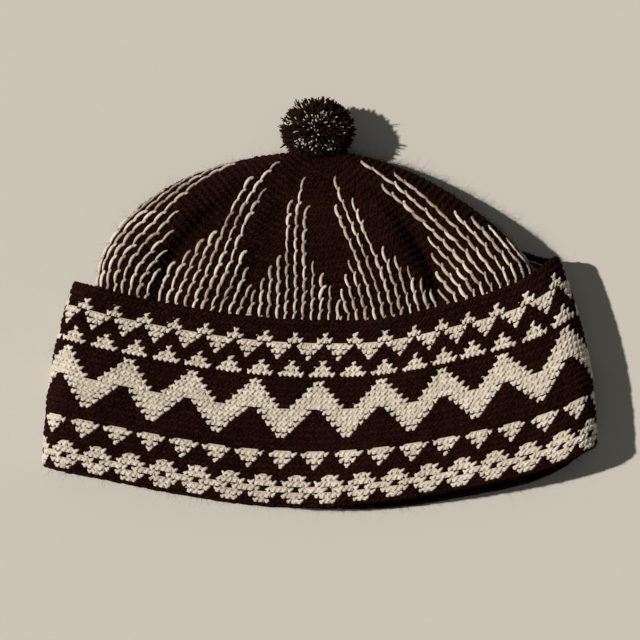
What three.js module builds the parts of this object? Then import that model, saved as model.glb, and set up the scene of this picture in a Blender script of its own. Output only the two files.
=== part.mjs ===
import * as THREE from "three";
import { mergeVertices } from "three/addons/utils/BufferGeometryUtils.js";

// A knitted beanie lying flat on its back: a domed crown, a cuff turned up around it and a pompom.
// Millimetres. X runs across the hat, Y from the hem to the pompom, Z up from the surface below.

const wall = 2.8; // one layer of two-colour knitting
const layerGap = 0.9; // between the cuff and the crown inside it
const foldRadius = wall + layerGap / 2; // outside of the turn at the hem
const legLength = 2; // how far the cuff runs on up inside, past its fold
const seamGap = 0.4; // between that inner leg and the crown's lower edge
const arcSteps = 4; // facets in each quarter turn at a side
const flatSteps = 17; // facets across the front, and across the back

const cuff = {
  rimCentre: -2,
  rimHalf: 114,
  hemCentre: 0,
  hemHalf: 129.2,
  flare: 2.1, // power of the widening from rim to hem
  sideHeight: 27,
  middleDip: 5, // how much lower the front lies at the middle than at the sides
  rings: 9, // rings of facets from the hem to the rim
};

const crown = {
  rows: 30, // knitted rows from the tip, row 0, to the cuff's rim
  centre: -2.1,
  half: 103, // at the cuff's rim
  spread: 1.1, // power of the widening from tip to rim
  tipX: -1,
  tipY: 72.9,
  leftY: 8.5, // where the shoulders end
  rightY: 10,
  leftRise: 1.0, // powers of the shoulders' curves
  rightRise: 1.65,
  sideHeight: 24,
  middleDip: 3.2,
  under: 0.4, // height of its underside above the surface
  liftRows: [9, 20], // rows over which the underside rises to lie inside the cuff
  noseRows: 6.8, // rows from the tip over which the front turns level
  roundRows: 12, // below this row the rows bend less and less like circles
  puffRows: 24, // and below this one the crown is drawn in by the rim
  frontPitch: 2.85, // of the rows along the middle of the front
  backPitch: 2.4,
  rings: 14, // rings of facets from the rim to the tip
  ringCrowding: 1.3, // power that sets them closer near the tip
};

const pompom = {
  x: -1,
  y: 82.6,
  z: 15.2,
  radius: 15.6,
  squash: 0.95, // its height over its width
  flatAt: 73.7, // where it is pressed flat against the crown's tip
  lump: 0.6,
  waves: { x: 0.5, y: 0.6, z: 0.55 }, // of its lumps, in radians for each millimetre
  detail: 3,
};

// The curved edges of the cuff, across from its left side (-1) to its right side (1), and where
// the crown's underside passes its rim.
const edges = [
  { across: -1.0, rimFront: 10.0, rimBack: 10.0, crownBack: 8.0, hemFront: -77.0, hemBack: -77.0 },
  { across: -0.8, rimFront: 3.5, rimBack: 8.0, crownBack: 5.0, hemFront: -81.9, hemBack: -81.0 },
  { across: -0.5, rimFront: -3.2, rimBack: 4.5, crownBack: 1.0, hemFront: -89.4, hemBack: -89.0 },
  { across: -0.25, rimFront: -7.0, rimBack: 2.5, crownBack: -1.5, hemFront: -94.2, hemBack: -94.0 },
  { across: 0.0, rimFront: -8.6, rimBack: 3.0, crownBack: -1.5, hemFront: -95.4, hemBack: -95.8 },
  { across: 0.25, rimFront: -8.2, rimBack: 7.0, crownBack: -0.5, hemFront: -92.2, hemBack: -95.4 },
  { across: 0.5, rimFront: -2.4, rimBack: 14.0, crownBack: 3.0, hemFront: -87.2, hemBack: -90.8 },
  { across: 0.8, rimFront: 7.8, rimBack: 25.5, crownBack: 10.0, hemFront: -78.2, hemBack: -82.0 },
  { across: 1.0, rimFront: 22.0, rimBack: 22.5, crownBack: 14.0, hemFront: -68.0, hemBack: -68.0 },
];

// Soft folds that run down the front of the crown. Across is their place at the rim, and each is
// steep on its left side and wide on its right.
const creases = [
  { across: -0.69, steep: 0.045, wide: 0.12, depth: 4.4 },
  { across: -0.3, steep: 0.05, wide: 0.12, depth: 1.5 },
  { across: 0.57, steep: 0.056, wide: 0.15, depth: 6.8 },
];
const creaseRows = [8, 22]; // rows over which a fold deepens
const creaseEnd = { row: 25.5, fading: 0.5 }; // and where it starts to go shallow

const clamp = THREE.MathUtils.clamp;
const lerp = THREE.MathUtils.lerp;
const smoothstep = THREE.MathUtils.smoothstep;

// One column of the edge table as a smooth curve across the hat.
function edge(column, across) {
  const last = edges.length - 1;
  let low = 0;
  while (low < last - 1 && edges[low + 1].across < across) low += 1;
  const slope = (i) => {
    const a = edges[Math.max(i - 1, 0)];
    const b = edges[Math.min(i + 1, last)];
    return (b[column] - a[column]) / (b.across - a.across);
  };
  const a = edges[low];
  const b = edges[low + 1];
  const span = b.across - a.across;
  const t = (across - a.across) / span;
  const bend = t * (1 - t);
  return (
    lerp(a[column], b[column], t * t * (3 - 2 * t)) +
    span * bend * ((1 - t) * slope(low) - t * slope(low + 1))
  );
}

// The stations around a flattened section: from the right side over the front to the left side,
// and back along the underside. Lift is 1 on the front, -1 underneath and 0 at the sides.
function sectionStations() {
  const half = [];
  for (let i = 0; i < arcSteps; i += 1) {
    half.push({ side: 1, angle: ((Math.PI / 2) * i) / arcSteps, flat: 1 });
  }
  for (let i = 0; i < flatSteps; i += 1) {
    half.push({ side: 0, angle: Math.PI / 2, flat: 1 - (2 * i) / flatSteps });
  }
  for (let i = 0; i <= arcSteps; i += 1) {
    half.push({ side: -1, angle: ((Math.PI / 2) * (arcSteps - i)) / arcSteps, flat: -1 });
  }
  const over = half.map((s) => ({ ...s, lift: Math.sin(s.angle) }));
  const below = half.slice(1, -1).reverse();
  return [...over, ...below.map((s) => ({ ...s, lift: -Math.sin(s.angle) }))];
}
const stations = sectionStations();

// A point of a section with round ends. Dip lowers the front and rise(across, lift) gives Y.
function sectionPoint(station, ring) {
  const { centre, half, radius, under, dip, rise } = ring;
  const reach = station.flat * (half - radius) + station.side * radius * Math.cos(station.angle);
  const across = clamp(reach / half, -1, 1);
  const z = under + radius * (1 + station.lift) - Math.max(0, station.lift) * dip(across);
  return new THREE.Vector3(centre + reach, rise(across, station.lift), z);
}

// Front and back curves meet half-way up each side.
const betweenFaces = (front, back, lift) => lerp(back, front, (1 + lift) / 2);
const saddle = (across) => (1 - across * across) ** 2;
const steps = (count) => Array.from({ length: count + 1 }, (_, i) => i); // 0, 1, ... count

// The cuff's outer face. Down is 0 at the rim and 1 where the fold starts.
function cuffRing(down) {
  const widen = 1 - (1 - down) ** cuff.flare;
  const rise = (across, lift) => {
    const rim = betweenFaces(edge("rimFront", across), edge("rimBack", across), lift);
    const hem = betweenFaces(edge("hemFront", across), edge("hemBack", across), lift);
    return lerp(rim, hem + foldRadius, down);
  };
  return {
    centre: lerp(cuff.rimCentre, cuff.hemCentre, widen),
    half: lerp(cuff.rimHalf, cuff.hemHalf, widen),
    radius: cuff.sideHeight / 2,
    under: 0,
    dip: (across) => cuff.middleDip * saddle(across),
    rise,
  };
}

// The crown's outer face inside the cuff, one layer further in, drawing away from it at the sides.
function hiddenRing(down) {
  const around = cuffRing(down);
  const inset = wall + layerGap;
  const drawn = smoothstep(1 - down, 0.05, 1);
  const half = lerp(around.half - inset, crown.half, drawn);
  const beside = (across) => across * lerp(1, half / around.half, drawn);
  const lower = (across, lift) => {
    const drop = edge("rimBack", across) - edge("crownBack", across);
    return (drawn * drop * (1 - lift)) / 2;
  };
  return {
    ...around,
    centre: lerp(around.centre, crown.centre, drawn),
    half,
    radius: around.radius - inset,
    under: inset,
    dip: (across) => around.dip(beside(across)),
    rise: (across, lift) => around.rise(beside(across), lift) - lower(beside(across), lift),
  };
}

function creaseDepth(across, row) {
  const started = smoothstep(row, ...creaseRows);
  const ending = 1 - creaseEnd.fading * smoothstep(row, creaseEnd.row, crown.rows);
  let depth = 0;
  for (const crease of creases) {
    const away = across - crease.across;
    const part = away / (away < 0 ? crease.steep : crease.wide);
    depth += crease.depth * Math.exp(-part * part);
  }
  return depth * started * ending;
}

// The height in Y of a point of the crown above the rim: rounded rows, drawn out to the shoulders.
function domeY(row, across, lift) {
  const angle = (Math.PI / 2) * (row / crown.rows) ** crown.spread;
  const nose = (Math.PI / 2) * Math.min(1, row / crown.noseRows);
  const pitch = betweenFaces(crown.frontPitch, crown.backPitch, lift);
  const turn = (crown.sideHeight / 2) * (1 - Math.cos(nose));
  const middle = crown.tipY - turn - Math.max(0, row - crown.noseRows) * pitch;
  const left = lerp(crown.leftY, crown.tipY, Math.cos(angle) ** crown.leftRise);
  const right = lerp(crown.rightY, crown.tipY, Math.cos(angle) ** crown.rightRise);
  const ends = lerp(left, right, (1 + across) / 2);
  const circle = 1 - Math.sqrt(Math.max(0, 1 - across * across));
  const round = smoothstep(row, crown.roundRows, crown.rows);
  return lerp(middle, ends, lerp(circle, across * across, round));
}

// The crown's outer face above the rim. Row is 0 at the tip and crown.rows at the rim.
function domeRing(row) {
  const rim = hiddenRing(0);
  const share = row / crown.rows;
  const angle = (Math.PI / 2) * share ** crown.spread;
  const nose = Math.sin((Math.PI / 2) * Math.min(1, row / crown.noseRows));
  const drawn = smoothstep(row, crown.puffRows, crown.rows);
  const joined = smoothstep(row, crown.roundRows, crown.rows);
  const radius = lerp(crown.sideHeight / 2, rim.radius, drawn) * nose;
  const low = lerp(crown.under, rim.under, smoothstep(row, ...crown.liftRows));
  const dipMost = lerp(crown.middleDip, cuff.middleDip, drawn) * nose;
  return {
    centre: lerp(crown.tipX, crown.centre, Math.sqrt(share)),
    half: Math.max(crown.half * Math.sin(angle), radius),
    radius,
    under: low + (1 - nose) * (crown.sideHeight / 2),
    dip: (across) => dipMost * saddle(across) + creaseDepth(across, row),
    rise: (across, lift) => {
      const above = rim.rise(across, lift) - domeY(crown.rows, across, lift);
      return domeY(row, across, lift) + above * joined;
    },
  };
}

const ringPoints = (ring) => stations.map((station) => sectionPoint(station, ring));

// Outward normals of a grid of rings that runs from the hem towards the tip.
function gridNormals(rings) {
  const count = stations.length;
  return rings.map((ring, i) =>
    ring.map((_, j) => {
      const ahead = rings[Math.min(i + 1, rings.length - 1)][j];
      const behind = rings[Math.max(i - 1, 0)][j];
      const next = ring[(j + 1) % count];
      const previous = ring[(j + count - 1) % count];
      const along = ahead.clone().sub(behind);
      const around = next.clone().sub(previous);
      return along.cross(around).normalize();
    }),
  );
}

const moved = (point, direction, distance) => point.clone().addScaledVector(direction, distance);

// A closed surface over rings of equal length. It ends in a point at each pole, or joins up.
function skin(rings, poles) {
  const count = rings[0].length;
  const points = rings.flat();
  const faces = [];
  const quad = (a, b, c, d) => faces.push(a, c, b, a, d, c);
  const bands = poles ? rings.length - 1 : rings.length;
  for (let i = 0; i < bands; i += 1) {
    const lower = i * count;
    const upper = ((i + 1) % rings.length) * count;
    for (let j = 0; j < count; j += 1) {
      const next = (j + 1) % count;
      quad(lower + j, lower + next, upper + next, upper + j);
    }
  }
  if (poles) {
    const [first, last] = [points.length, points.length + 1];
    const top = (rings.length - 1) * count;
    points.push(poles[0], poles[1]);
    for (let j = 0; j < count; j += 1) {
      const next = (j + 1) % count;
      faces.push(first, j, next);
      faces.push(last, top + next, top + j);
    }
  }
  const geometry = new THREE.BufferGeometry().setFromPoints(points);
  geometry.setIndex(faces);
  return geometry;
}

function cuffGeometry() {
  const outer = steps(cuff.rings).map((i) => ringPoints(cuffRing(1 - i / cuff.rings)));
  const normals = gridNormals(outer);
  const inner = outer.map((ring, i) => ring.map((p, j) => moved(p, normals[i][j], -wall)));
  const rim = outer.at(-1).map((p, j) => {
    const along = p.clone().sub(outer.at(-2)[j]).normalize();
    return moved(moved(p, normals.at(-1)[j], -wall / 2), along, wall / 2);
  });
  // The turn at the hem, drawn about a line half-way between the two layers.
  const turned = (radius, angle, past) =>
    outer[0].map((p, j) => {
      const n = normals[0][j];
      const out = p.clone().sub(outer[1][j]);
      out.addScaledVector(n, -out.dot(n)).normalize();
      const centre = moved(p, n, -foldRadius);
      const onArc = moved(moved(centre, n, radius * Math.cos(angle)), out, radius * Math.sin(angle));
      return moved(onArc, out, -past);
    });
  const quarter = Math.PI / 4;
  const outside = [4, 3, 2, 1].map((i) => turned(foldRadius, i * quarter, 0));
  const inside = [2, 4].map((i) => turned(layerGap / 2, i * quarter, 0));
  const legOutside = turned(foldRadius, Math.PI, legLength);
  const legInside = turned(layerGap / 2, Math.PI, legLength);
  const loop = [...outer, rim, ...inner.reverse(), ...inside, legInside, legOutside, ...outside];
  return skin(loop);
}

function crownGeometry() {
  const cuffDepth = edge("rimFront", 0) - edge("hemFront", 0) - foldRadius;
  const lowest = 1 - (legLength + seamGap) / cuffDepth;
  const hidden = steps(cuff.rings - 1).map((i) => hiddenRing(lowest * (1 - i / cuff.rings)));
  const dome = steps(crown.rings - 1).map((i) => {
    return domeRing(crown.rows * (1 - i / crown.rings) ** crown.ringCrowding);
  });
  const outer = [...hidden, ...dome].map(ringPoints);
  const normals = gridNormals(outer);
  const inner = outer.map((ring, i) => ring.map((p, j) => moved(p, normals[i][j], -wall)));
  const z = crown.under + crown.sideHeight / 2;
  const tip = new THREE.Vector3(crown.tipX, crown.tipY, z);
  return skin([...inner.reverse(), ...outer], [moved(tip, { x: 0, y: 1, z: 0 }, -wall), tip]);
}

function pompomGeometry() {
  const { radius, lump, waves } = pompom;
  const ball = new THREE.IcosahedronGeometry(radius, pompom.detail);
  ball.deleteAttribute("normal");
  ball.deleteAttribute("uv");
  const geometry = mergeVertices(ball);
  const place = geometry.attributes.position;
  const point = new THREE.Vector3();
  for (let i = 0; i < place.count; i += 1) {
    point.fromBufferAttribute(place, i);
    const across = Math.sin(point.y * waves.y) * Math.sin(point.z * waves.z);
    point.setLength(radius - lump + (lump / 2) * (Math.sin(point.x * waves.x) + across));
    point.z *= pompom.squash;
    point.add(new THREE.Vector3(pompom.x, pompom.y, pompom.z));
    point.y = Math.max(point.y, pompom.flatAt);
    place.setXYZ(i, point.x, point.y, point.z);
  }
  return geometry;
}

function piece(name, geometry, color) {
  geometry.computeVertexNormals();
  const material = new THREE.MeshStandardMaterial({ color, roughness: 0.95, metalness: 0 });
  const mesh = new THREE.Mesh(geometry, material);
  mesh.name = name;
  return mesh;
}

const hat = new THREE.Group();
hat.add(piece("crown", crownGeometry(), 0x6f5c50));
hat.add(piece("cuff", cuffGeometry(), 0x4a3529));
hat.add(piece("pompom", pompomGeometry(), 0x2c1a12));

// The origin is under the middle of the whole hat, on the surface that it lies on.
const box = new THREE.Box3().setFromObject(hat);
const middle = box.getCenter(new THREE.Vector3());
hat.position.set(-middle.x, -middle.y, -box.min.z);

export default hat;
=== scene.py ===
import math

import bpy
import numpy as np
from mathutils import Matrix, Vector


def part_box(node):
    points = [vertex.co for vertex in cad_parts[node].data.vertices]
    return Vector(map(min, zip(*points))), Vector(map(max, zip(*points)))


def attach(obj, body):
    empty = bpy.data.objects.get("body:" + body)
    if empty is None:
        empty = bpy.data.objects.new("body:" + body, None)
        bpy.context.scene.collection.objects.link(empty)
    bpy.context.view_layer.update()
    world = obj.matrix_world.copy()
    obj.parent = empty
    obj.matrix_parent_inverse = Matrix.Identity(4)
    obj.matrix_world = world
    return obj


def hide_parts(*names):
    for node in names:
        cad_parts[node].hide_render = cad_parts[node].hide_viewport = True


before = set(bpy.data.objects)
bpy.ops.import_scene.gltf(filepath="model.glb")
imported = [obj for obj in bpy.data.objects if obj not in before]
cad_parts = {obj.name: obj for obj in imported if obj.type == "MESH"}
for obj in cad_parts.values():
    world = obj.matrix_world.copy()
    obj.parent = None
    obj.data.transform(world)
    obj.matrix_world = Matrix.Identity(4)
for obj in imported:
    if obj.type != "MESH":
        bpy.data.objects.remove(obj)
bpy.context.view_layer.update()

# A knitted beanie lying flat on its back. Form sizes are in millimetres and become metres when a
# mesh is made. X runs across the hat, Y from the hem to the pompom, Z up.

chance = np.random.default_rng(11)
mm = 0.001

# the hat's form, the same as its frame's

wall = 2.8
layerGap = 0.9
foldRadius = wall + layerGap / 2

cuffForm = {
    "rimCentre": -2, "rimHalf": 114, "hemCentre": 0, "hemHalf": 129.2, "flare": 2.1,
    "sideHeight": 27, "middleDip": 5,
}

crownForm = {
    "rows": 30, "centre": -2.1, "half": 103, "spread": 1.1, "tipX": -1, "tipY": 72.9,
    "leftY": 8.5, "rightY": 10, "leftRise": 1.0, "rightRise": 1.65, "sideHeight": 24,
    "middleDip": 3.2, "under": 0.4, "liftRows": (9, 20), "noseRows": 6.8, "roundRows": 12,
    "puffRows": 24, "frontPitch": 2.85, "backPitch": 2.4,
    "drawnFrom": 0.05,  # up from the hem, the share of the cuff's depth where it starts to draw in
}

# The curved edges of the cuff, across from its left side (-1) to its right side (1).
edges = {
    "across":    [-1.0, -0.8, -0.5, -0.25, 0.0, 0.25, 0.5, 0.8, 1.0],
    "rimFront":  [10.0, 3.5, -3.2, -7.0, -8.6, -8.2, -2.4, 7.8, 22.0],
    "rimBack":   [10.0, 8.0, 4.5, 2.5, 3.0, 7.0, 14.0, 25.5, 22.5],
    "crownBack": [8.0, 5.0, 1.0, -1.5, -1.5, -0.5, 3.0, 10.0, 14.0],
    "hemFront":  [-77.0, -81.9, -89.4, -94.2, -95.4, -92.2, -87.2, -78.2, -68.0],
    "hemBack":   [-77.0, -81.0, -89.0, -94.0, -95.8, -95.4, -90.8, -82.0, -68.0],
}

# Soft folds down the front of the crown.
creases = [
    {"across": -0.69, "steep": 0.045, "wide": 0.12, "depth": 4.4},
    {"across": -0.3, "steep": 0.05, "wide": 0.12, "depth": 1.5},
    {"across": 0.57, "steep": 0.056, "wide": 0.15, "depth": 6.8},
]
creaseRows = (8, 22)
creaseEnd = {"row": 25.5, "fading": 0.5}

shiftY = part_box("crown")[1].y / mm - crownForm["tipY"]


def mix(a, b, t):
    return a + (b - a) * t


def smooth(x, low, high):
    t = np.clip((x - low) / (high - low), 0, 1)
    return t * t * (3 - 2 * t)


def edgeAt(column, across):
    xs, ys = np.array(edges["across"]), np.array(edges[column])
    last = len(xs) - 1
    slopes = [
        (ys[min(i + 1, last)] - ys[max(i - 1, 0)]) / (xs[min(i + 1, last)] - xs[max(i - 1, 0)])
        for i in range(last + 1)
    ]
    slopes = np.array(slopes)
    low = np.clip(np.searchsorted(xs, across, side="left") - 1, 0, last - 1)
    span = xs[low + 1] - xs[low]
    t = (across - xs[low]) / span
    bend = span * t * (1 - t) * ((1 - t) * slopes[low] - t * slopes[low + 1])
    return mix(ys[low], ys[low + 1], t * t * (3 - 2 * t)) + bend


def betweenFaces(front, back, lift):
    return mix(back, front, (1 + lift) / 2)


def saddle(across):
    return (1 - across * across) ** 2


def cuffRing(down):
    widen = 1 - (1 - down) ** cuffForm["flare"]

    def rise(across, lift):
        rim = betweenFaces(edgeAt("rimFront", across), edgeAt("rimBack", across), lift)
        hem = betweenFaces(edgeAt("hemFront", across), edgeAt("hemBack", across), lift)
        return mix(rim, hem + foldRadius, down)

    return {
        "centre": mix(cuffForm["rimCentre"], cuffForm["hemCentre"], widen),
        "half": mix(cuffForm["rimHalf"], cuffForm["hemHalf"], widen),
        "radius": cuffForm["sideHeight"] / 2,
        "under": 0,
        "dip": lambda across: cuffForm["middleDip"] * saddle(across),
        "rise": rise,
    }


def hiddenRing(down):
    around = cuffRing(down)
    inset = wall + layerGap
    drawn = smooth(1 - down, crownForm["drawnFrom"], 1)
    half = mix(around["half"] - inset, crownForm["half"], drawn)
    beside = mix(1, half / around["half"], drawn)

    def rise(across, lift):
        lower = edgeAt("rimBack", across * beside) - edgeAt("crownBack", across * beside)
        return around["rise"](across * beside, lift) - lower * (1 - lift) / 2 * drawn

    return {
        "centre": mix(around["centre"], crownForm["centre"], drawn),
        "half": half,
        "radius": around["radius"] - inset,
        "under": inset,
        "dip": lambda across: around["dip"](across * beside),
        "rise": rise,
    }


def creaseDepth(across, row):
    started = smooth(row, *creaseRows)
    ending = 1 - creaseEnd["fading"] * smooth(row, creaseEnd["row"], crownForm["rows"])
    depth = 0
    for crease in creases:
        away = across - crease["across"]
        width = np.where(away < 0, crease["steep"], crease["wide"])
        depth = depth + crease["depth"] * np.exp(-((away / width) ** 2))
    return depth * started * ending


def domeY(row, across, lift):
    form = crownForm
    angle = math.pi / 2 * (row / form["rows"]) ** form["spread"]
    nose = math.pi / 2 * min(1, row / form["noseRows"])
    pitch = betweenFaces(form["frontPitch"], form["backPitch"], lift)
    turn = form["sideHeight"] / 2 * (1 - math.cos(nose))
    middle = form["tipY"] - turn - max(0, row - form["noseRows"]) * pitch
    left = mix(form["leftY"], form["tipY"], max(0, math.cos(angle)) ** form["leftRise"])
    right = mix(form["rightY"], form["tipY"], max(0, math.cos(angle)) ** form["rightRise"])
    ends = mix(left, right, (1 + across) / 2)
    circle = 1 - np.sqrt(np.maximum(0, 1 - across * across))
    rounded = smooth(row, form["roundRows"], form["rows"])
    return mix(middle, ends, mix(circle, across * across, rounded))


def domeRing(row):
    form = crownForm
    rim = hiddenRing(0)
    share = row / form["rows"]
    angle = math.pi / 2 * share ** form["spread"]
    nose = math.sin(math.pi / 2 * min(1, row / form["noseRows"]))
    drawn = smooth(row, form["puffRows"], form["rows"])
    joined = smooth(row, form["roundRows"], form["rows"])
    radius = mix(form["sideHeight"] / 2, rim["radius"], drawn) * nose
    low = mix(form["under"], rim["under"], smooth(row, *form["liftRows"]))
    dipMost = mix(form["middleDip"], cuffForm["middleDip"], drawn) * nose

    def rise(across, lift):
        above = rim["rise"](across, lift) - domeY(form["rows"], across, lift)
        return domeY(row, across, lift) + above * joined

    return {
        "centre": mix(form["tipX"], form["centre"], math.sqrt(share)),
        "half": max(form["half"] * math.sin(angle), radius),
        "radius": radius,
        "under": low + (1 - nose) * form["sideHeight"] / 2,
        "dip": lambda across: dipMost * saddle(across) + creaseDepth(across, row),
        "rise": rise,
    }


def roundLength(ring):
    return 4 * (ring["half"] - ring["radius"]) + 2 * math.pi * ring["radius"]


# Points at these shares of the way around, from the middle of the front towards the right.
def ringLine(ring, share):
    flat, radius = ring["half"] - ring["radius"], ring["radius"]
    quarter = flat + math.pi * radius / 2
    along = (share % 1) * 4 * quarter
    side = np.where((along > quarter) & (along < 3 * quarter), -1, 1)  # front, or underneath
    along = np.abs((along + 2 * quarter) % (4 * quarter) - 2 * quarter)
    sign = np.where((share % 1) < 0.5, 1, -1)
    along = np.where(side > 0, along, 2 * quarter - along)  # from the middle of its own face
    turn = np.clip((along - flat) / radius, 0, math.pi / 2)
    reach = sign * (np.minimum(along, flat) + radius * np.sin(turn))
    lift = side * np.cos(turn)
    across = np.clip(reach / ring["half"], -1, 1)
    z = ring["under"] + radius * (1 + lift) - np.maximum(0, lift) * ring["dip"](across)
    y = ring["rise"](across, lift) + shiftY
    return np.stack([ring["centre"] + reach, y, z], -1)


# A face of the hat, by the share of the way around and the row, for stitches to lie on.
class Fabric:
    def __init__(self, levels, lines):
        self.levels = np.array(levels, float)
        self.points = np.array(lines)
        around = np.roll(self.points, -1, 1) - np.roll(self.points, 1, 1)
        along = np.gradient(self.points, self.levels, axis=0)
        normals = np.cross(along, around)
        self.normals = normals / np.maximum(np.linalg.norm(normals, axis=-1, keepdims=True), 1e-9)

    def at(self, share, level, height=0):
        count = self.points.shape[1]
        i = np.interp(level, self.levels, np.arange(len(self.levels)))
        j = (share % 1) * count
        low = np.clip(np.floor(i).astype(int), 0, len(self.levels) - 2)
        left = np.floor(j).astype(int) % count
        right = (left + 1) % count
        s, t = (j - np.floor(j))[..., None], (i - low)[..., None]

        def blend(grid):
            upper = mix(grid[low, left], grid[low, right], s)
            return mix(upper, mix(grid[low + 1, left], grid[low + 1, right], s), t)

        normal = blend(self.normals)
        normal /= np.maximum(np.linalg.norm(normal, axis=-1, keepdims=True), 1e-9)
        return blend(self.points) + normal * np.asarray(height)[..., None], normal


finest = 1440  # points around each line of a fabric
shares = np.arange(finest) / finest

# the cuff as a fabric: its stitches go round, and its rows run from 0 at the rim to the hem's fold

cuffKnit = {
    "stitches": 216, "rows": 33.4, "rowPitch": 2.63,
    "zeroAtRim": 3.1, "zeroDrift": -0.233,  # where column 0 lies from the middle, and its lean a row
    "overRim": 0.6, "faceLines": 42,  # the rows above row 0, and the lines from there to the fold
    "foldLines": 12,
    "legRows": 2.0, "legStep": 0.5,  # how far the fabric runs on up inside, and in what steps
}
cuffKnit["flatRows"] = cuffKnit["rows"] - math.pi / 2 * foldRadius / cuffKnit["rowPitch"]


def cuffZero(row):
    ring = cuffRing(min(1, max(0, row / cuffKnit["flatRows"])))
    zero = cuffKnit["zeroAtRim"] + cuffKnit["zeroDrift"] * row
    return (zero - ring["centre"]) / roundLength(ring)


def cuffLines():
    flatRows, pitch, step = cuffKnit["flatRows"], cuffKnit["rowPitch"], cuffKnit["legStep"]
    levels = list(np.linspace(-cuffKnit["overRim"], flatRows, cuffKnit["faceLines"]))
    lines = [ringLine(cuffRing(level / flatRows), shares + cuffZero(level)) for level in levels]
    around = np.roll(lines[-1], -1, 0) - np.roll(lines[-1], 1, 0)
    along = lines[-1] - lines[-2]
    normal = np.cross(along, around)
    normal /= np.linalg.norm(normal, axis=-1, keepdims=True)
    out = along - normal * np.sum(along * normal, -1, keepdims=True)
    out /= np.linalg.norm(out, axis=-1, keepdims=True)
    middle = lines[-1] - normal * foldRadius
    for angle in np.linspace(0, math.pi, cuffKnit["foldLines"] + 1)[1:]:
        levels.append(flatRows + angle * foldRadius / pitch)
        lines.append(middle + foldRadius * (normal * math.cos(angle) + out * math.sin(angle)))
    for _ in range(round(cuffKnit["legRows"] / step)):
        levels.append(levels[-1] + step)
        lines.append(lines[-1] - out * step * pitch)
    return levels, lines


cuffFabric = Fabric(*cuffLines())
foldEnd = cuffKnit["flatRows"] + math.pi * foldRadius / cuffKnit["rowPitch"]

# the crown as a fabric: nine gores that narrow towards the tip, where row 0 is

crownKnit = {
    "gores": 9, "wales": 24, "wale": 2.01,
    # where the middles of the gores lie, in shares of the way round: the first one at the tip, and
    # all of them at the rim, where folds hide some of the fabric between those in front
    "tipMiddle": -0.048,
    "rimMiddles": [-0.0225, 0.0725, 0.187, 0.3046, 0.4222, 0.5398, 0.6574, 0.775, 0.882],
    "turnRows": (4, 28),
    "frontPitch": 2.9, "sidePitch": 3.0, "sideStretch": 0.003,  # rows spread along the sides
    "sideRows": 0.16,  # how much taller the gores at the sides are
    "lastRow": 46, "tucked": 3,  # how many levels of the form they run on behind the rim
    "border": 0.3,  # how many wales a gore may reach past its border
    "cell": (2.3, 2.9), "backHalf": 0.22,  # half the share of the way round that has coarse stitches
}

# The lines that the form and the knitting are laid out on, closer together near the tip. Behind
# the cuff the form's lines run on until a small gap above the hem's fold.
crownLines = {
    "tipEnd": 6, "tipLines": 16, "formFrom": 0.15, "formLines": 44, "hiddenLines": 30,
    "knitFrom": 0.3, "knitLines": 72, "knitPast": 2, "hemGap": 2.4,
}


def goreMiddle(gore, row):
    gore = np.asarray(gore, int)
    turns, place = np.divmod(gore, crownKnit["gores"])
    atRim = np.array(crownKnit["rimMiddles"])[place] + turns
    atTip = crownKnit["tipMiddle"] + gore / crownKnit["gores"]
    return mix(atTip, atRim, smooth(row, *crownKnit["turnRows"]))


# The gores at the sides have more rows between the tip and the rim than those in the middle.
def goreHeight(gore):
    return 1 + crownKnit["sideRows"] * np.sin(2 * math.pi * goreMiddle(gore, crownForm["rows"])) ** 2


def crownShare(gore, wale, row):
    wide = walesAt(row / goreHeight(gore)) * crownKnit["gores"]
    return goreMiddle(gore, row) + wale / wide


# Levels from one near the tip to a last one, with close ones first.
def tipFirst(start, last, lines):
    tipEnd = crownLines["tipEnd"]
    close = np.linspace(start, tipEnd, crownLines["tipLines"])
    return np.concatenate([close, np.linspace(tipEnd, last, lines + 1)[1:]])


# The crown's form in lines of equal share, from the tip to the cuff's rim and on to the hem.
def crownForms():
    rimLevel, hidden = crownForm["rows"], crownLines["hiddenLines"]
    levels = list(tipFirst(crownLines["formFrom"], rimLevel, crownLines["formLines"]))
    lines = [ringLine(domeRing(level), shares) for level in levels]
    depth = edgeAt("rimFront", 0.0) - edgeAt("hemFront", 0.0) - foldRadius
    lowest = 1 - crownLines["hemGap"] / depth
    for past in range(1, hidden + 1):
        levels.append(rimLevel + past)
        lines.append(ringLine(hiddenRing(past / hidden * lowest), shares))
    return levels, lines


# Rows are knitted around the tip at nearly even distances, whatever the form's own lines do.
def crownRows(levels, lines):
    form = np.array(lines)
    tip = np.array([crownForm["tipX"], crownForm["tipY"] + shiftY, form[0, :, 2].mean()])
    steps = np.linalg.norm(np.diff(form, axis=0), axis=-1)
    start = np.linalg.norm(form[0] - tip, axis=-1)
    reach = np.concatenate([start[None], start + np.cumsum(steps, 0)])
    side = np.sin(2 * math.pi * shares) ** 2
    pitch = mix(crownKnit["frontPitch"], crownKnit["sidePitch"], side)
    lastRow = crownKnit["lastRow"] + crownLines["knitPast"]
    rows = tipFirst(crownLines["knitFrom"], lastRow, crownLines["knitLines"])
    away = rows[:, None] * pitch / (1 - rows[:, None] * crownKnit["sideStretch"] * side)
    levelGrid = np.broadcast_to(np.array(levels)[:, None, None], form.shape[:2] + (1,))
    packed = np.concatenate([form, levelGrid], -1)
    found = np.empty((len(rows), finest, 4))
    for n in range(finest):
        for axis in range(4):
            found[:, n, axis] = np.interp(away[:, n], reach[:, n], packed[:, n, axis])
    even = []
    for line in found:
        closed = np.concatenate([line, line[:1]])
        lengths = np.linalg.norm(np.diff(closed[:, :3], axis=0), axis=-1)
        gone = np.concatenate([[0], np.cumsum(lengths)])
        even.append(np.stack([np.interp(shares * gone[-1], gone, closed[:, k]) for k in range(4)], -1))
    return rows, np.array(even)


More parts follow.
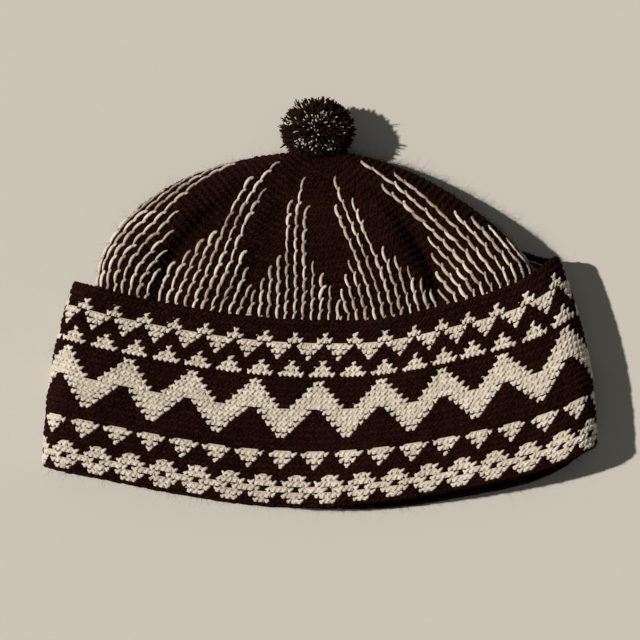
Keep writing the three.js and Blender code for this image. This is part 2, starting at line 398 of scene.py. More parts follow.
formLevels, formLines = crownForms()
crownSurface = Fabric(formLevels, formLines)
knitRows, knitLines = crownRows(formLevels, formLines)
crownFabric = Fabric(knitRows, knitLines[..., :3])
crownLevels = Fabric(knitRows, np.repeat(knitLines[..., 3:], 3, -1))  # the form's level anywhere
roundSteps = np.linalg.norm(np.roll(knitLines, -1, 1)[..., :3] - knitLines[..., :3], axis=-1)
goreWales = roundSteps.sum(1) / crownKnit["gores"] / crownKnit["wale"]


def walesAt(row):
    row = np.clip(row, crownLines["knitFrom"], crownForm["rows"])
    return np.interp(row, knitRows, np.minimum(goreWales, crownKnit["wales"]))


print("form: cuff and crown laid out", cuffFabric.points.shape, crownFabric.points.shape)

# meshes


# A mesh object at the origin from points in millimetres, each with its own tone, which also carries
# painted light and shade.
def makePiece(name, points, faces, material, toneAndPaintedLight, uv=None):
    mesh = bpy.data.meshes.new(name)
    mesh.from_pydata(np.asarray(points) * mm, [], faces)
    mesh.materials.append(material)
    layer = mesh.attributes.new("toneAndPaintedLight", "FLOAT", "POINT")
    layer.data.foreach_set("value", np.asarray(toneAndPaintedLight, np.float32))
    if uv is not None:
        layer = mesh.uv_layers.new(name="yarn")
        corners = np.empty(len(mesh.loops), int)
        mesh.loops.foreach_get("vertex_index", corners)
        layer.data.foreach_set("uv", np.asarray(uv, np.float32)[corners].ravel())
    mesh.polygons.foreach_set("use_smooth", np.ones(len(mesh.polygons), bool))
    mesh.update()
    piece = bpy.data.objects.new(name, mesh)
    bpy.context.scene.collection.objects.link(piece)
    return piece


# The points and faces of a modelled shape, which is then taken away. The faces are sorted, because
# a sphere's come in another order each time.
def asShape(piece):
    mesh = piece.data
    points = np.array([v.co for v in mesh.vertices])
    faces = sorted(list(p.vertices) for p in mesh.polygons)
    bpy.data.objects.remove(piece)
    return {"points": points, "faces": faces}


# A round bead of yarn of unit radius, modelled once and then stretched to each stitch.
def yarnBead(segments, rings):
    bpy.ops.object.select_all(action="DESELECT")
    bpy.ops.mesh.primitive_uv_sphere_add(segments=segments, ring_count=rings, radius=1)
    bead = bpy.context.object
    bpy.ops.object.mode_set(mode="EDIT")
    bpy.ops.mesh.select_all(action="SELECT")
    bpy.ops.transform.rotate(value=math.pi / 2, orient_axis="X", center_override=(0, 0, 0))
    bpy.ops.mesh.normals_make_consistent(inside=False)
    bpy.ops.object.mode_set(mode="OBJECT")
    return asShape(bead)


# Faces of count copies of one shape, whose points follow each other.
def repeatShape(shape, count):
    size = len(shape["points"])
    faces = []
    for n in range(count):
        faces += [[i + n * size for i in face] for face in shape["faces"]]
    return faces


# A fabric's rows run down while its stitches are drawn upwards, so their faces are turned over.
def turnedOver(shape):
    return {"points": shape["points"], "faces": [face[::-1] for face in shape["faces"]]}


# one stitch: two legs of yarn that rise from a point, in millimetres on a flat fabric

stitchForm = {
    "cell": (2.5, 2.657),
    "legWidth": 0.93, "legLength": 1.66, "legHeight": 0.66, "depth": -0.64,
    "rightAt": (0.56, -0.05), "rightLean": 56, "leftAt": (-0.6, 0.02), "leftLean": -58,
    "leftShare": 0.94, "leftSunk": 0.08,
    "footAt": (0, 0.86), "footSize": (1.15, 0.74, 0.52), "footDepth": -0.6,
    "pastFront": 8,  # columns beyond each side that still get the finer stitches of the front
}
bead, coarseBead = yarnBead(5, 4), yarnBead(4, 3)


# A bead of yarn stretched, leaned and set down: x across, y towards the hem, z out.
def leg(shape, at, lean, width, length, height, depth):
    points = shape["points"] * [width, length, height]
    angle = math.radians(lean)
    x = points[:, 0] * math.cos(angle) - points[:, 1] * math.sin(angle)
    y = points[:, 0] * math.sin(angle) + points[:, 1] * math.cos(angle)
    return np.stack([x + at[0], y + at[1], points[:, 2] + depth], -1)


# The points of some shapes as one shape.
def joined(*shapes):
    points = np.concatenate([shape["points"] for shape in shapes])
    faces, start = [], 0
    for shape in shapes:
        faces += [[i + start for i in face] for face in shape["faces"]]
        start += len(shape["points"])
    return {"points": points, "faces": faces}


def legShape(shape, *form):
    return {"points": leg(shape, *form), "faces": shape["faces"]}


def stitchShape(yarn, withFoot=False):
    f = stitchForm
    width, length, height, share = f["legWidth"], f["legLength"], f["legHeight"], f["leftShare"]
    legs = [
        legShape(yarn, f["rightAt"], f["rightLean"], width, length, height, f["depth"]),
        legShape(yarn, f["leftAt"], f["leftLean"], width * share, length * share, height,
                 f["depth"] - f["leftSunk"]),
    ]
    if withFoot:  # the point of the V, drawn down into the stitch below it
        legs.append(legShape(coarseBead, f["footAt"], 0, *f["footSize"], f["footDepth"]))
    return joined(*legs)


stitch, footedStitch = stitchShape(bead), stitchShape(bead, True)
coarseStitch, coarseFootedStitch = stitchShape(coarseBead), stitchShape(coarseBead, True)


# How far a stitch's turn, place and height vary for its looseness, how much its width may vary at
# most, how far apart the stitches lie on the uv map, and how low they may come.
uneven = {"turn": 2.2, "shift": 0.8, "lift": 2, "widest": 1.6, "uvSpread": 50, "lowest": 0.02}


# Copies of a shape on a fabric, one at each column and row, each a little different.
def layStitches(name, fabric, shape, columns, rows, shareOf, cell, material, loose=0.05, swell=0.1,
                tones=(0, 1)):
    count = len(columns)
    points = shape["points"]
    grow = 1 + loose * chance.standard_normal((count, 1))
    wide = 1 + swell * chance.standard_normal((count, 1)).clip(-uneven["widest"], uneven["widest"])
    turn = loose * uneven["turn"] * chance.standard_normal((count, 1))
    across = points[None, :, 0] * grow * wide + points[None, :, 1] * turn
    along = points[None, :, 1] * grow - points[None, :, 0] * turn
    x = across / cell[0] + loose * uneven["shift"] * chance.standard_normal((count, 1))
    y = along / cell[1] + loose * uneven["shift"] * chance.standard_normal((count, 1))
    z = points[None, :, 2] * grow + loose * uneven["lift"] * chance.standard_normal((count, 1))
    share = shareOf(columns[:, None] + x, rows[:, None] + y)
    place, _ = fabric.at(share, rows[:, None] + y, z)
    place[..., 2] = np.maximum(place[..., 2], uneven["lowest"])
    # Painted light and shade that the shape carries along itself, added to each copy's random tone.
    shade = shape.get("shade", np.zeros(len(points)))
    toneAndPaintedLight = (chance.uniform(*tones, (count, 1)) + shade).ravel()
    uv = points[None, :, :2] + chance.random((count, 1, 2)) * uneven["uvSpread"]
    return makePiece(name, place.reshape(-1, 3), repeatShape(turnedOver(shape), count), material,
                     toneAndPaintedLight, uv.reshape(-1, 2))


# A socket that can be used in Python expressions, which add Math nodes to its tree.
class Wire:
    def __init__(self, tree, socket):
        self.tree, self.socket = tree, socket

    def math(self, operation, *values):
        return addNode(self.tree, "ShaderNodeMath", {"operation": operation}, *values)

    def __add__(self, other):
        return self.math("ADD", self, other)

    def __mul__(self, other):
        return self.math("MULTIPLY", self, other)

    def __sub__(self, other):
        return self.math("SUBTRACT", self, other)

    def __rsub__(self, other):
        return self.math("SUBTRACT", other, self)

    __radd__, __rmul__ = __add__, __mul__

    def between(self, low, high):
        values = {"Value": self, "From Min": low, "From Max": high}
        return addNode(self.tree, "ShaderNodeMapRange", {"clamp": True}, values, out="Result")


# One node: its settings first, then its sockets by order or by name; it gives back an output.
def addNode(tree, kind, settings=None, *values, out=0):
    node = tree.nodes.new(kind)
    for key, value in (settings or {}).items():
        setattr(node, key, value)
    if len(values) == 1 and isinstance(values[0], dict):
        pairs = values[0].items()
    else:
        pairs = enumerate(values)
    for key, value in pairs:
        if isinstance(value, Wire):
            tree.links.new(value.socket, node.inputs[key])
        else:
            node.inputs[key].default_value = value
    return Wire(tree, node.outputs[out])


# A mix of two colours, whose sockets come after those for numbers and vectors.
def mixColour(tree, share, first, second):
    values = {0: share, 6: first, 7: second}
    return addNode(tree, "ShaderNodeMix", {"data_type": "RGBA"}, values, out=2)


def newMaterial(name, fixed):
    material = bpy.data.materials.new(name)
    material.use_nodes = True
    shader = material.node_tree.nodes["Principled BSDF"]
    for key, value in fixed.items():
        shader.inputs[key].default_value = value
    return material, material.node_tree, shader


# Each look holds the yarn's colour in shade and its colour in light, which noise and each point's tone
# mix into painted light and shade, and a painted highlight for glints of its fibres.
yarnLooks = {
    "brown": {"shaded": (0.003, 0.0009, 0.0006, 1), "lit": (0.021, 0.0058, 0.0034, 1),
              "glint": (0.13, 0.046, 0.032, 1), "glints": 0.6, "sheen": 0.02, "range": (0.25, 0.8),
              "sheenTint": (0.8, 0.4, 0.32, 1), "specular": 0.025},
    # The cut ends of the pompom: painted a little lighter and redder, as light shining through them.
    "cut brown": {"shaded": (0.0045, 0.0016, 0.001, 1), "lit": (0.025, 0.009, 0.005, 1),
                  "glint": (0.12, 0.052, 0.033, 1), "glints": 0.5, "sheen": 0.06,
                  "sheenTint": (0.9, 0.5, 0.35, 1), "specular": 0.05},
    "cream": {"shaded": (0.46, 0.38, 0.28, 1), "lit": (0.84, 0.755, 0.64, 1),
              "glint": (0.97, 0.93, 0.86, 1), "glints": 0.9, "sheen": 0.2,
              "sheenTint": (1, 0.96, 0.9, 1), "specular": 0.2},
    # The crown's stripes: their colour in shade is painted far darker, for the shade where the strands
    # sink into the fabric.
    "cream stripe": {"shaded": (0.26, 0.17, 0.115, 1), "lit": (0.84, 0.75, 0.63, 1),
                     "glint": (1, 0.95, 0.88, 1), "glints": 0.8, "sheen": 0.1,
                     "sheenTint": (1, 0.95, 0.9, 1), "specular": 0.15},
}

# The scale and detail of each noise, and how they and a stitch's tone make up the colour's painted
# light, shade and highlights, and the relief.
yarnGrain = {
    "fibres": (2600, 2), "strands": (900, 3), "patches": (38, 2), "noiseRoughness": 0.6,
    "toneAndPaintedLightShare": 0.35, "strandShare": 0.9, "patchShare": 0.5, "darker": 0.35, "range": (0.1, 0.9),
    "glintRange": (0.58, 0.72), "fibreHeight": 0.5, "bump": 0.00022, "bumpStrength": 0.6,
    "roughness": 0.88, "sheenRoughness": 0.45,
}


def yarnMaterial(name, look):
    g = yarnGrain
    fixed = {"Roughness": g["roughness"], "Specular IOR Level": look["specular"],
             "Sheen Weight": look["sheen"], "Sheen Roughness": g["sheenRoughness"],
             "Sheen Tint": look["sheenTint"]}
    material, tree, shader = newMaterial(name, fixed)
    place = addNode(tree, "ShaderNodeTexCoord", out="Object")
    toneAndPaintedLight = addNode(tree, "ShaderNodeAttribute", {"attribute_name": "toneAndPaintedLight"}, out="Fac")

    def noise(scale, detail):
        values = {"Vector": place, "Scale": scale, "Detail": detail, "Roughness": g["noiseRoughness"]}
        return addNode(tree, "ShaderNodeTexNoise", None, values)

    fibres, strands, patches = noise(*g["fibres"]), noise(*g["strands"]), noise(*g["patches"])
    # Painted light and shade: the tone and two noises choose between the colour in shade and the colour
    # in light.
    shade = toneAndPaintedLight * g["toneAndPaintedLightShare"] + strands * g["strandShare"] + patches * g["patchShare"] - g["darker"]
    shade = shade.between(*look.get("range", g["range"]))
    colour = mixColour(tree, shade, look["shaded"], look["lit"])
    # Painted highlights: glints of the fibres where the finest noise is high.
    glint = fibres.between(*g["glintRange"]) * look["glints"]
    colour = mixColour(tree, glint, colour, look["glint"])
    tree.links.new(colour.socket, shader.inputs["Base Color"])
    height = fibres * g["fibreHeight"] + strands
    values = {"Strength": g["bumpStrength"], "Distance": g["bump"], "Height": height}
    bump = addNode(tree, "ShaderNodeBump", None, values)
    tree.links.new(bump.socket, shader.inputs["Normal"])
    return material


brownYarn = yarnMaterial("brown yarn", yarnLooks["brown"])
cutYarn = yarnMaterial("cut brown yarn", yarnLooks["cut brown"])
creamYarn = yarnMaterial("cream yarn", yarnLooks["cream"])
stripeYarn = yarnMaterial("cream stripe yarn", yarnLooks["cream stripe"])

# The cuff's chart, from the rim's row to the fold's. Each row repeats every 6 or 12 stitches, and
# x is cream.
cuffChart = [
    "......",
    "......",
    "x.....",
    "xx...x",
    ".xxxxx",
    "..xxx.",
    "...x..",
    "x.....",
    "xx...x",
    "xxx.xx",
    "......",
    "x..........x",
    "xx........xx",
    "xxx......xxx",
    "xxxx....xxxx",
    "xxxxx..xxxxx",
    ".xxxxxxxxxx.",
    "..xxxxxxxx..",
    "...xxxxxx...",
    "....xxxx....",
    ".....xx.....",
    "......",
    "......",
    "xxx.xx",
    "xx...x",
    "x.....",
    "......",
    "..xxx.",
    ".xxxxx",
    "xxx.xx",
    ".xxxxx",
    "..xxx.",
    "......",
    "......",
]


def isCream(column, row):
    if not 0 <= row < len(cuffChart):
        return False
    line = cuffChart[row]
    return line[column % len(line)] == "x"


# A grid from Blender's own primitive, wrapped around the hat along a fabric and closed at its seam.
def wrapGrid(name, fabric, columns, levels, height, shareOf):
    bpy.ops.object.select_all(action="DESELECT")
    bpy.ops.mesh.primitive_grid_add(x_subdivisions=columns, y_subdivisions=len(levels) - 1, size=1)
    piece = bpy.context.object
    piece.name = piece.data.name = name
    place = np.array([v.co for v in piece.data.vertices])
    column = np.rint((place[:, 0] + 0.5) * columns)
    row = np.rint((0.5 - place[:, 1]) * (len(levels) - 1)).astype(int)
    level = np.array(levels)[row]
    points, _ = fabric.at(shareOf(column % columns, level), level, np.full(len(level), height))
    piece.data.vertices.foreach_set("co", (points * mm).ravel())
    piece.data.update()
    bpy.ops.object.mode_set(mode="EDIT")
    bpy.ops.mesh.select_all(action="SELECT")
    bpy.ops.mesh.remove_doubles(threshold=0.01 * mm)
    bpy.ops.object.mode_set(mode="OBJECT")
    return piece


def thicken(piece, thickness):
    bpy.context.view_layer.objects.active = piece
    solid = piece.modifiers.new("wall", "SOLIDIFY")
    solid.thickness = thickness * mm
    solid.offset = -1
    bpy.ops.object.modifier_apply(modifier=solid.name)
    bpy.ops.object.shade_smooth()


# The smooth layers that the stitches lie on, and the levels of the crown's.
baseForm = {
    "sunk": -0.55, "thickness": 1.8, "tipLevels": [0.15, 0.6], "fineLevels": 35,
    "hiddenFrom": 37, "hiddenTo": 60, "hiddenLevels": 12, "tipMerge": 1.2,
}

# Near the rim the stitches of the front's right-hand end crowd a little to the left.
crowdForm = {"stitches": 1.9, "from": (14, 36), "until": (58, 108), "rows": 24}


def cuffShare(column, row):
    f = crowdForm
    place = column % cuffKnit["stitches"]
    crowd = f["stitches"] * smooth(place, *f["from"]) * (1 - smooth(place, *f["until"]))
    return (column - crowd * np.clip(1 - row / f["rows"], 0, 1)) / cuffKnit["stitches"]


# The zigzag's rows are drawn a little towards the rim.
zigzagForm = {"pull": 0.42, "above": (9.0, 11.3), "below": (20.6, 24.5)}


def rowPlace(row):
    f = zigzagForm
    return row - f["pull"] * smooth(row, *f["above"]) * (1 - smooth(row, *f["below"]))


def makeCuffBase():
    stitches, rows = cuffKnit["stitches"], len(cuffChart) - 1
    levels = [float(rowPlace(row)) for row in range(rows)]
    levels += list(np.linspace(rows, foldEnd + cuffKnit["legRows"], baseForm["hiddenLevels"]))
    piece = wrapGrid("cuffBase", cuffFabric, stitches, levels, baseForm["sunk"],
                     lambda column, level: cuffShare(column - 0.5, level))
    piece.data.materials.append(brownYarn)
    piece.data.materials.append(creamYarn)
    for face in piece.data.polygons:
        row = len(levels) - 2 - face.index // stitches
        column = face.index % stitches
        around = [(column, row), (column - 1, row), (column + 1, row)]
        if row < rows and all(isCream(*cell) for cell in around):
            face.material_index = 1
    thicken(piece, baseForm["thickness"])
    return piece


cuffBase = makeCuffBase()
print("cuff: base shell made")


def layOnCuff(name, shape, columns, rows, material):
    return layStitches(name, cuffFabric, shape, columns, rows, cuffShare, stitchForm["cell"], material)


# Every place where one of some columns meets one of some rows.
def everyPlace(columns, rows):
    columns, rows = np.meshgrid(columns, rows)
    return columns.ravel(), rows.ravel()


def makeCuffStitches():
    pieces = []
    allColumns = np.arange(cuffKnit["stitches"])
    columns, rows = everyPlace(allColumns, np.arange(len(cuffChart)))
    cream = np.array([isCream(c, r) for c, r in zip(columns, rows)])
    quarter, past = cuffKnit["stitches"] / 4, stitchForm["pastFront"]
    front = (columns < quarter + past) | (columns >= 3 * quarter - past)
    for name, chosen, shape, material in (
        ("cuffCreamStitchesFront", cream & front, footedStitch, creamYarn),
        ("cuffCreamStitchesBack", cream & ~front, coarseFootedStitch, creamYarn),
        ("cuffBrownStitchesFront", ~cream & front, stitch, brownYarn),
        ("cuffBrownStitchesBack", ~cream & ~front, coarseStitch, brownYarn),
    ):
        middles = rowPlace(rows[chosen] + 0.5)
        pieces.append(layOnCuff(name, shape, columns[chosen], middles, material))
    inside = np.arange(len(cuffChart), int(foldEnd + cuffKnit["legRows"])) + 0.5
    places = everyPlace(allColumns, inside)
    pieces.append(layOnCuff("cuffBrownStitchesInside", coarseStitch, *places, brownYarn))
    return pieces


# Along the rim runs a chain of yarn, and on the wrong side cream strands pass behind the brown.
rimForm = {
    "level": 0.2, "size": (1.75, 1.05, 1.15), "depth": -1.35, "lean": 12,
    "floatRows": (1.2, 2.4, 3.4, 4.4), "floatSize": (1.5, 0.5, 0.4), "floatLean": 4,
}


def makeCuffTrim():
    f = rimForm
    columns = np.arange(cuffKnit["stitches"]) + 0.5
    chain = legShape(bead, (0, 0), f["lean"], *f["size"], f["depth"])
    inside = baseForm["sunk"] - baseForm["thickness"]
    strand = legShape(bead, (0, 0), f["floatLean"], *f["floatSize"], inside)
    return [
        layOnCuff("cuffRimChain", chain, *everyPlace(columns, f["level"]), brownYarn),
        layOnCuff("cuffFloats", strand, *everyPlace(columns, f["floatRows"]), creamYarn),
    ]


cuffStitches = makeCuffStitches() + makeCuffTrim()
print("cuff: stitches made")

# The crown's cream stripes start at these rows, from the middle of each gore outwards, two wales
# apart, and run on under the cuff. Each is a line of long strands with a nub at the end of each.
stripeForm = {
    "starts": [7, 11.3, 20.4, 22.4, 24.6, 27, 29], "rowsEach": 2, "cell": (2.0, 2.9),
    "bead": (6, 8), "bow": -0.4, "bowCurve": 1.5, "lean": 0.02, "width": 0.74, "length": 3.75,
    "height": 0.78, "depth": -0.52, "rise": 0.32, "nubAt": (0.4, -0.3), "nubAlong": 0.72,
    "nubLean": 20, "nubSize": (0.58, 1.0, 0.5), "nubDepth": -0.22, "loose": 0.04, "swell": 0.16,
    # the strand is painted lighter in its raised middle, darker at its sunk ends and a little darker at
    # the nub, as light and shade
    "paintedMiddleLight": 0.5, "paintedEndShade": -0.9, "paintedNubShade": -0.1, "tones": (-0.7, 0.9),
}


def makeCrownBase():
    f = baseForm
    columns = crownKnit["gores"] * crownKnit["wales"]
    levels = f["tipLevels"] + list(range(1, f["fineLevels"] + 1))
    levels += list(np.linspace(f["hiddenFrom"], f["hiddenTo"], f["hiddenLevels"]))
    piece = wrapGrid("crownBase", crownSurface, columns, levels, f["sunk"],
                     lambda column, level: column / columns)
    piece.data.materials.append(brownYarn)
    bpy.context.view_layer.objects.active = piece
    tip = piece.data.vertices[int(np.argmax([v.co.y for v in piece.data.vertices]))].co.copy()
    bpy.ops.object.mode_set(mode="EDIT")
    bpy.ops.mesh.select_all(action="DESELECT")
    bpy.ops.object.mode_set(mode="OBJECT")
    for vertex in piece.data.vertices:
        vertex.select = (vertex.co - tip).length < f["tipMerge"] * mm
    bpy.ops.object.mode_set(mode="EDIT")
    bpy.ops.mesh.merge(type="CENTER")
    bpy.ops.object.mode_set(mode="OBJECT")
    thicken(piece, f["thickness"])
    return piece


# How many wales a gore reaches to its left and right, half-way to the middles of its neighbours.
def goreReach(gore, row):
    wide = walesAt(row / goreHeight(gore)) * crownKnit["gores"]
    left, middle, right = (float(goreMiddle(gore + step, row)) for step in (-1, 0, 1))
    return (middle - left) / 2 * wide, (right - middle) / 2 * wide


# The gore, wale and row of the middle of each brown stitch and of each strand of the stripes.
def crownCells():
    plain, stripes = [], []
    lastRow, border = crownKnit["lastRow"], crownKnit["border"]
    outermost = len(stripeForm["starts"]) - 1  # this stripe and the middle one are there only once
    for gore in range(crownKnit["gores"]):
        starts = [start * float(goreHeight(gore)) for start in stripeForm["starts"]]
        for side in (-1, 1):
            for j, start in enumerate(starts):
                if j in (0, outermost) and side < 0:
                    continue
                row = start
                while row < lastRow:
                    reach = goreReach(gore, row + 1)[(1 + side) // 2]
                    if 2 * j < reach + border:
                        stripes.append((gore, 2 * j * side, row))
                    row += stripeForm["rowsEach"]
        for row in range(1, lastRow):
            left, right = goreReach(gore, row + 0.5)
            for wale in range(-math.floor(left + border), math.floor(right + border) + 1):
                j = abs(wale) / 2
                if j == int(j) and j <= outermost and row + 0.5 > starts[int(j)]:
                    continue
                plain.append((gore, wale, row + 0.5))
    plain, stripes = np.array(plain), np.array(stripes)

    def shown(cells):
        level, _ = crownLevels.at(crownShare(*cells.T), cells[:, 2], np.zeros(len(cells)))
        return cells[level[:, 0] < crownForm["rows"] + crownKnit["tucked"]]

    return shown(plain), shown(stripes) + [0, 0, stripeForm["rowsEach"] / 2]


def stripeShape():
    f = stripeForm
    strand = yarnBead(*f["bead"])
    points = strand["points"]
    along = points[:, 1].copy()
    fabricPoints = points * [f["width"], f["length"], f["height"]]
    fabricPoints[:, 0] += f["bow"] * (1 - f["bowCurve"] * along**2) - f["lean"] * along
    fabricPoints[:, 2] += f["depth"] + f["rise"] * (1 - along**2)
    nub = leg(bead, f["nubAt"], f["nubLean"], *f["nubSize"], f["nubDepth"])
    nub[:, 1] -= f["length"] * f["nubAlong"]
    nubShape = {"points": nub, "faces": bead["faces"]}
    shape = joined({"points": fabricPoints, "faces": strand["faces"]}, nubShape)
    # Painted light and shade along the strand: lighter in its raised middle, darker at its sunk ends.
    paintedStrandLight = f["paintedMiddleLight"] + f["paintedEndShade"] * along**2
    shape["shade"] = np.concatenate([paintedStrandLight, np.full(len(nub), f["paintedNubShade"])])
    return shape


def layOnCrown(name, shape, cells, *finish):
    gore, wale, row = cells.T
    return layStitches(name, crownFabric, shape, wale, row,
                       lambda w, r: crownShare(gore[:, None], w, r), *finish)


def makeCrownStitches():
    f, cell = stripeForm, crownKnit["cell"]
    plain, stripes = crownCells()
    front = np.abs(crownShare(*plain.T) % 1 - 0.5) > crownKnit["backHalf"]
    return [
        layOnCrown("crownBrownStitchesFront", stitch, plain[front], cell, brownYarn),
        layOnCrown("crownBrownStitchesBack", coarseStitch, plain[~front], cell, brownYarn),
        layOnCrown("crownCreamStripes", stripeShape(), stripes, f["cell"], stripeYarn,
                   f["loose"], f["swell"], f["tones"]),
    ]


crownBase = makeCrownBase()
crownStitches = makeCrownStitches()
print("crown: base shell and stitches made")

pompomForm = {
    "centre": (-1, 81.9, 15.2), "radius": 15.2, "root": 3, "strands": 3800, "creamShare": 0.62,
    "sides": 4, "cuts": (0.5, 0.9),  # a strand's sides, and where along it there is a ring of points
    "width": 0.42, "creamWidth": 0.34, "widthSpread": 0.15, "rootWidth": 0.6, "swelling": 0.45,
    "cutAt": 0.97, "cutWidth": 0.75, "squash": (1.04, 0.93, 0.93), "ragged": 0.07, "stray": 0.007,
    # the root shade paints each strand darker towards its root, as the shade far inside the pompom
    "strayReach": 1.15, "splay": 0.24, "bend": 2.9, "flatAt": 68.5, "paintedRootShade": -4.5,
    "swirl": 1.3, "swirlWaves": (7, 4, 6, -5), "lumps": 0.045, "lumpWaves": (9, 8),
    "creamBend": 0.45, "tuft": 0.125, "squareTo": (0.3, 0.2, 0.93), "lowest": 0.3,
    # where cream tufts show, across and towards the tip, the same on the upper and lower sides
    "tufts": [(-0.36, 0.38), (-0.2, 0.12), (-0.02, 0.28), (0.14, 0.4), (0.33, 0.36), (0.5, 0.22),
              (-0.56, 0), (-0.12, -0.12), (-0.14, -0.38), (-0.5, -0.52), (-0.1, -0.68), (0.2, -0.62),
              (0.48, -0.66), (0.72, -0.3), (0.8, 0.06), (-0.86, 0.16), (0.1, 0.92), (-0.4, 0.8)],
}


# A strand of unit length and radius, cut across at some places so that it can bend.
def strandShape(sides, cuts, tipRadius=1):
    bpy.ops.object.select_all(action="DESELECT")
    bpy.ops.mesh.primitive_cone_add(vertices=sides, radius1=1, radius2=tipRadius, depth=1,
                                    location=(0, 0, 0.5))
    strand = bpy.context.object
    bpy.ops.object.transform_apply(location=True)
    for place in cuts:
        bpy.ops.object.mode_set(mode="EDIT")
        bpy.ops.mesh.select_all(action="SELECT")
        bpy.ops.mesh.bisect(plane_co=(0, 0, place), plane_no=(0, 0, 1))
    bpy.ops.object.mode_set(mode="OBJECT")
    return asShape(strand)


# Unit directions, each turned away at random from the one given.
def splayed(way, splay):
    way = way + splay * chance.standard_normal(way.shape)
    return way / np.linalg.norm(way, axis=1, keepdims=True)


# Two directions that are square to each of the ways and to each other.
def squareTo(way, hint):
    side = np.cross(way, hint)
    side /= np.linalg.norm(side, axis=1, keepdims=True)
    return side, np.cross(way, side)


def makePompom():
    f = pompomForm
    shape = strandShape(f["sides"], f["cuts"])
    count = f["strands"]
    n = np.arange(count)
    pole = 1 - 2 * (n + 0.5) / count  # a spiral from pole to pole, with a golden turn each time
    turn = n * math.pi * (3 - math.sqrt(5))
    flat = np.sqrt(1 - pole * pole)
    way = splayed(np.stack([flat * np.cos(turn), pole, flat * np.sin(turn)], -1), f["splay"])
    wayX, wayY, wayZ = way.T
    reach = f["radius"] * (1 + f["ragged"] * chance.standard_normal(count).clip(-2, 1))
    a, b = f["lumpWaves"]
    reach *= 1 + f["lumps"] * np.sin(a * wayX + 2) * np.sin(b * wayZ + wayY)
    stray = chance.random(count) < f["stray"]
    reach[stray] *= f["strayReach"]
    side, other = squareTo(way, f["squareTo"])
    u = shape["points"][None]
    a, b, c, d = f["swirlWaves"]
    swirl = np.stack([np.sin(a * wayX + b * wayZ), np.sin(c * wayZ + d * wayY + 1)])
    bend = f["swirl"] * swirl.T[..., None] + f["bend"] * chance.standard_normal((count, 2, 1))
    away = np.linalg.norm(way[:, None, :2] - np.array(f["tufts"]), axis=-1).min(axis=1)
    cream = chance.random(count) < f["creamShare"] * (away < f["tuft"])
    bend *= np.where(cream, f["creamBend"], 1)[:, None, None]
    width = np.where(cream, f["creamWidth"], f["width"])[:, None]
    width = width * (1 + f["widthSpread"] * chance.standard_normal((count, 1)))
    along = u[..., 2]
    swelling = f["rootWidth"] + f["swelling"] * along
    spread = np.where(along > f["cutAt"], f["cutWidth"], swelling) * width
    x = u[..., 0] * spread + bend[:, 0] * along**2
    y = u[..., 1] * spread + bend[:, 1] * along**2
    far = f["root"] + along * (reach[:, None] - f["root"])
    place = way[:, None] * far[..., None] + side[:, None] * x[..., None] + other[:, None] * y[..., None]
    place *= f["squash"]
    place += np.array(f["centre"]) + [0, shiftY, 0]
    place[..., 1] = np.maximum(place[..., 1], f["flatAt"] + shiftY)
    place[..., 2] = np.maximum(place[..., 2], f["lowest"])
    pieces = []
    for name, chosen, material in (
        ("pompomBrownYarn", ~cream, cutYarn),
        ("pompomCreamYarn", cream, creamYarn),
    ):
        total = int(chosen.sum())
        # Random tone, and painted shade that darkens each strand towards its root far inside the
        # pompom.
        toneAndPaintedLight = (chance.random((total, 1)) + f["paintedRootShade"] * (1 - along[0])).ravel()
        pieces.append(makePiece(name, place[chosen].reshape(-1, 3), repeatShape(shape, total),
                                material, toneAndPaintedLight))
    return pieces


pompomYarn = makePompom()
print("pompom: cut yarn made")

fuzzForm = {
    "length": (1.2, 4.2), "radius": 0.042, "radiusSpread": (0.6, 1.5), "rootDepth": -0.3,
    "sides": 3, "cuts": (0.33, 0.67), "tipRadius": 0.3, "splay": 1.1, "curl": 1.1, "curled": 0.5,
    "wave": 0.45, "squareTo": (0.31, 0.2, 0.93), "toneAndPaintedLight": 0.9, "lowest": 0.1,
}

# Where the loose hairs stand: their yarn and fabric, their number and rows, and where they don't
# stand all around, the middle and spread of their shares of the way round.
fuzzPlaces = [
    ("cuffFuzz", brownYarn, cuffFabric, 800, (0, 34)),
    ("cuffHemFuzz", cutYarn, cuffFabric, 1100, (cuffKnit["flatRows"], foldEnd)),
    ("crownFuzz", brownYarn, crownSurface, 700, (1, 30)),
    ("crownRightFuzz", cutYarn, crownSurface, 2300, (2, 29), (0.245, 0.02)),
    ("crownLeftFuzz", cutYarn, crownSurface, 350, (2, 28), (0.75, 0.03)),
]


def makeFuzz(name, yarn, fabric, count, rows, around=None):
    f = fuzzForm
    if around is None:
        share = chance.random(count)
    else:
        middle, spread = around
        share = middle + spread * chance.standard_normal(count)
    level = chance.uniform(*rows, count)
    shape = strandShape(f["sides"], f["cuts"], f["tipRadius"])
    root, normal = fabric.at(share, level, np.full(count, f["rootDepth"]))
    way = splayed(normal, f["splay"])
    curl = f["curl"] * chance.standard_normal((count, 3))
    side, other = squareTo(way, f["squareTo"])
    length = chance.uniform(*f["length"], count)[:, None, None]
    u = shape["points"][None]
    along = u[..., 2:3]
    line = way[:, None] * along * length + curl[:, None] * along**2 * length * f["curled"]
    line = line + other[:, None] * np.sin(2 * math.pi * along) * f["wave"]
    radius = f["radius"] * chance.uniform(*f["radiusSpread"], (count, 1, 1))
    place = root[:, None] + line + radius * (side[:, None] * u[..., 0:1] + other[:, None] * u[..., 1:2])
    place[..., 2] = np.maximum(place[..., 2], f["lowest"])
    return makePiece(name, place.reshape(-1, 3), repeatShape(shape, count), yarn,
                     np.full(count * len(shape["points"]), f["toneAndPaintedLight"]))


fuzz = [makeFuzz(*place) for place in fuzzPlaces]
print("fuzz made")

allPieces = [crownBase, *crownStitches, cuffBase, *cuffStitches, *pompomYarn, *fuzz]
triangles = {piece.name: sum(len(face.vertices) - 2 for face in piece.data.polygons)
             for piece in allPieces}
print("triangles:", sum(triangles.values()), triangles)

for piece in allPieces:
    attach(piece, "root")
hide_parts("crown")
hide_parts("cuff")
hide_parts("pompom")

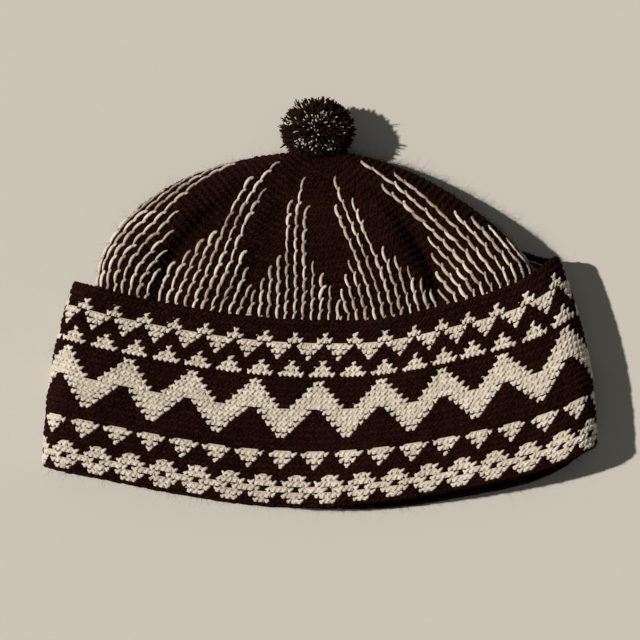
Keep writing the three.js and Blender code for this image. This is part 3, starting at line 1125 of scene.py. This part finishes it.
# The studio: a pale floor, a soft key light from the left and a camera nearly straight above.
studio = {
    "floorSize": 8, "floorColour": (0.66, 0.625, 0.555, 1), "floorGrain": 900, "floorDetail": 3,
    "floorDarker": 0.94, "floorRoughness": 0.9, "keyStrength": 3.75, "keyAngle": 1.7,
    "keyColour": (1, 0.965, 0.925), "keyElevation": 43.5, "keyHeading": -4.5,
    "fill": (0.95, 0.96, 0.94, 1), "fillStrength": 0.115,
    "cameraElevation": 84.5, "cameraDistance": 0.9, "target": (0, -0.0078 + shiftY * mm, 0.015),
    "frameWidth": 0.2993, "sensor": 36,
}


def makeFloor():
    bpy.ops.object.select_all(action="DESELECT")
    bpy.ops.mesh.primitive_plane_add(size=studio["floorSize"])
    floor = bpy.context.object
    floor.name = "floor"
    material, tree, shader = newMaterial("pale floor", {"Roughness": studio["floorRoughness"]})
    place = addNode(tree, "ShaderNodeTexCoord", out="Object")
    values = {"Vector": place, "Scale": studio["floorGrain"], "Detail": studio["floorDetail"]}
    grain = addNode(tree, "ShaderNodeTexNoise", None, values)
    base = studio["floorColour"]
    darker = tuple(c * studio["floorDarker"] for c in base[:3]) + (1,)
    colour = mixColour(tree, grain, darker, base)
    tree.links.new(colour.socket, shader.inputs["Base Color"])
    floor.data.materials.append(material)


def makeLights():
    heading, elevation = math.radians(studio["keyHeading"]), math.radians(studio["keyElevation"])
    flat = math.cos(elevation)
    travel = Vector((flat * math.cos(heading), flat * math.sin(heading), -math.sin(elevation)))
    bpy.ops.object.light_add(type="SUN", location=-travel)
    key = bpy.context.object
    key.rotation_euler = travel.to_track_quat("-Z", "Y").to_euler()
    key.data.energy = studio["keyStrength"]
    key.data.angle = math.radians(studio["keyAngle"])
    key.data.color = studio["keyColour"]
    world = bpy.data.worlds.new("studio")
    world.use_nodes = True
    background = world.node_tree.nodes["Background"]
    background.inputs["Color"].default_value = studio["fill"]
    background.inputs["Strength"].default_value = studio["fillStrength"]
    bpy.context.scene.world = world


def makeCamera():
    elevation = math.radians(studio["cameraElevation"])
    away = Vector((0, -math.cos(elevation), math.sin(elevation))) * studio["cameraDistance"]
    bpy.ops.object.camera_add(location=Vector(studio["target"]) + away)
    camera = bpy.context.object
    camera.rotation_euler = (-away).to_track_quat("-Z", "Y").to_euler()
    camera.data.sensor_width = studio["sensor"]
    camera.data.lens = studio["sensor"] * studio["cameraDistance"] / studio["frameWidth"]
    bpy.context.scene.camera = camera


makeFloor()
makeLights()
makeCamera()
bpy.context.scene.view_settings.view_transform = "Standard"
print("studio: floor, lights and camera made")
